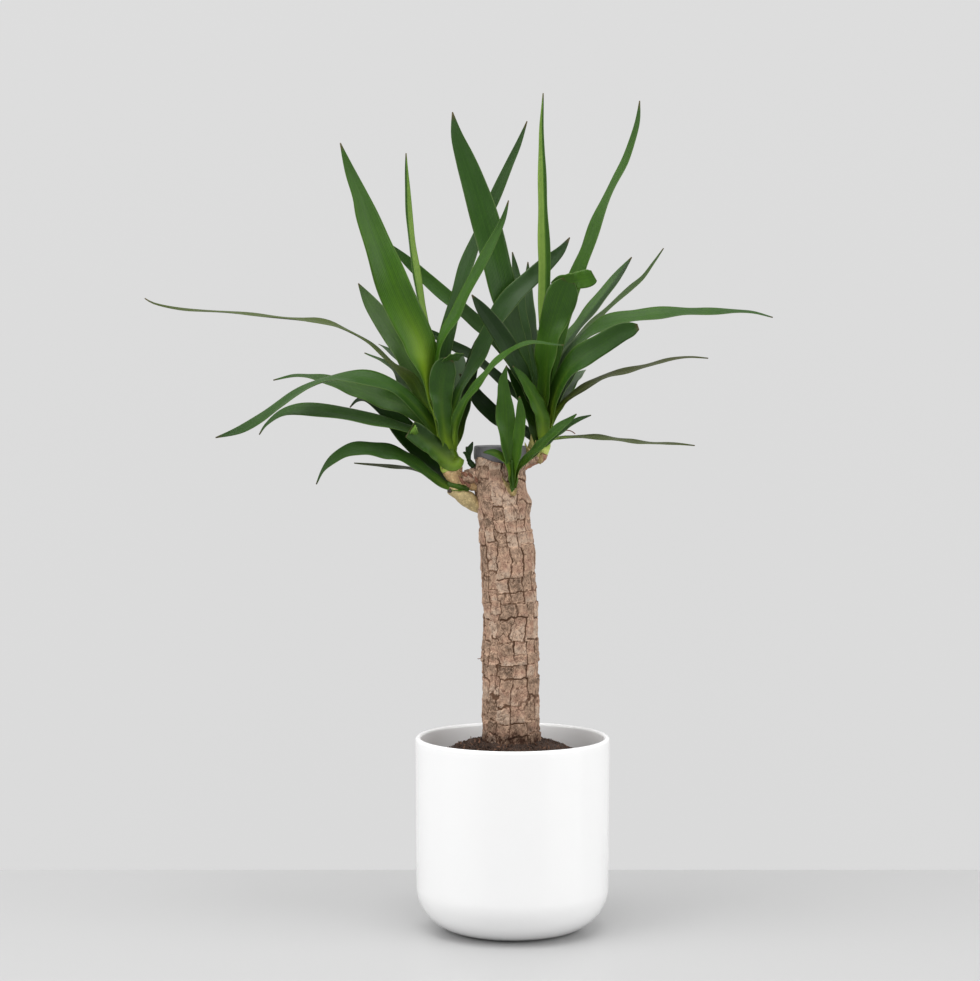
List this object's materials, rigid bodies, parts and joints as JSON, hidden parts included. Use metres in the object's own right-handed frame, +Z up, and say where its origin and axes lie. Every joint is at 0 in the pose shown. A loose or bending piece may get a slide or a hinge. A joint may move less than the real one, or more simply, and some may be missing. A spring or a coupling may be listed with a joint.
{
  "type": "potted yucca plant",
  "caption": "Yucca cane with arching sword-shaped leaves in several heads, standing in soil in a round white glazed pot.",
  "frame": {"origin": "centre of the pot's flat base, on the surface it stands on", "axes": "+Z up along the pot's axis; +X to the viewer's right and -Y towards the viewer in the picture's view"},
  "size_m": [0.5299, 0.2039, 0.7066],
  "materials": {
    "glaze": "smooth white glaze, satin to gloss",
    "soil": "dark, moist, crumbly potting compost",
    "bark": "dry tan bark split into small plates",
    "wax": "charcoal sealing wax, dull",
    "stem": "pale tan young stem with papery scales",
    "leaf": "smooth satin leaf with fine long veins",
    "young_leaf": "smooth satin young leaf with fine long veins"
  },
  "bodies": {
    "root": {"pot": "glaze", "soil": "soil", "cane": "bark", "wax_cap": "wax", "stem_left": "stem", "stem_low_left": "stem", "stem_right": "stem", "head_left": "leaf", "shoot_low_left": "leaf", "head_right": "leaf", "shoot_front": "young_leaf", "bud": "young_leaf"}
  },
  "joints": []
}
